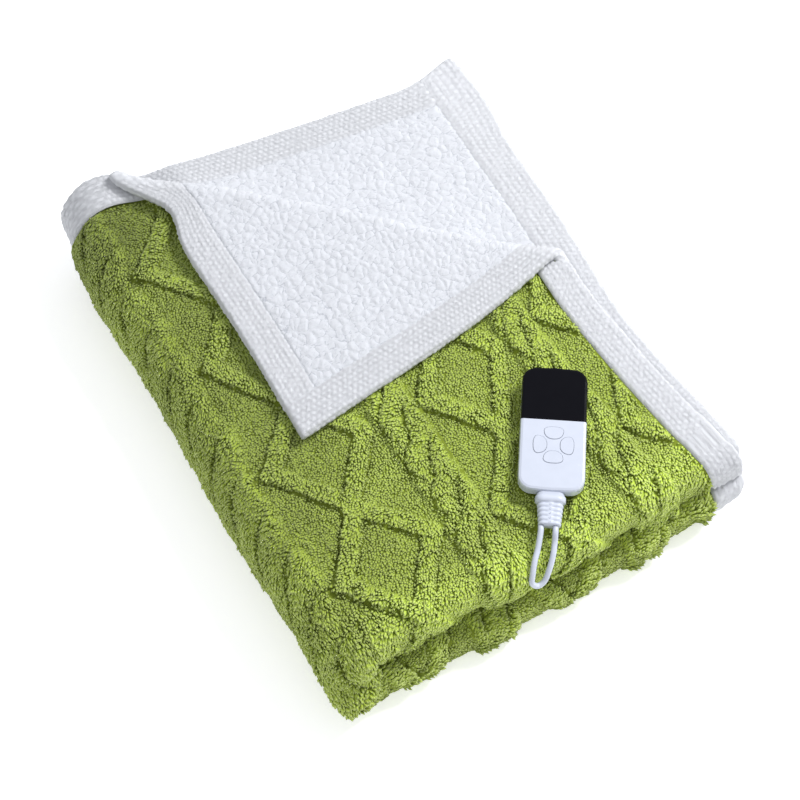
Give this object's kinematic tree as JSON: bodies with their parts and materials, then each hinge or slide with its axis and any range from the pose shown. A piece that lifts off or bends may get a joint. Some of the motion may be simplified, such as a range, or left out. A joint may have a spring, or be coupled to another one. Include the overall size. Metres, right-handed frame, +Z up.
{
  "type": "electric heated blanket",
  "caption": "Plush and fleece heated blanket with bound edges, folded into a stack with one corner turned back and its hand controller lying on top.",
  "frame": {"origin": "middle of the folded stack's footprint, on the surface that it lies on", "axes": "+X towards the stack's open bound edges, away from its side fold; +Y from the rolled front folds to the back edge with the turned corner; +Z up"},
  "size_m": [0.4086, 0.5539, 0.1007],
  "materials": {
    "green_plush": "deep plush pile with raised bands",
    "white_fleece": "curly fleece",
    "white_ribbon": "textured woven ribbon",
    "white_plastic": "smooth gloss",
    "dark_window": "dark gloss",
    "white_moulding": "satin",
    "white_cord": "satin"
  },
  "bodies": {
    "blanket": {"face_panel": "green_plush", "back_panel": "white_fleece", "binding_right_upper": "white_ribbon", "binding_right_lower": "white_ribbon", "binding_end_top": "white_ribbon", "binding_end_page": "white_ribbon", "housing": "white_plastic", "display_window": "dark_window", "strain_relief": "white_moulding", "cord_loop": "white_cord"},
    "key_up": {"button_up": "white_plastic"},
    "key_left": {"button_left": "white_plastic"},
    "key_down": {"button_down": "white_plastic"},
    "key_right": {"button_right": "white_plastic"}
  },
  "joints": [
    {"name": "press_up", "type": "slide", "parent": "blanket", "child": "key_up", "axis": [0, 0, -1], "range_m": [0, 0.0008], "stiffness_N_per_m": 1500},
    {"name": "press_left", "type": "slide", "parent": "blanket", "child": "key_left", "axis": [0, 0, -1], "range_m": [0, 0.0008], "stiffness_N_per_m": 1500},
    {"name": "press_down", "type": "slide", "parent": "blanket", "child": "key_down", "axis": [0, 0, -1], "range_m": [0, 0.0008], "stiffness_N_per_m": 1500},
    {"name": "press_right", "type": "slide", "parent": "blanket", "child": "key_right", "axis": [0, 0, -1], "range_m": [0, 0.0008], "stiffness_N_per_m": 1500}
  ]
}
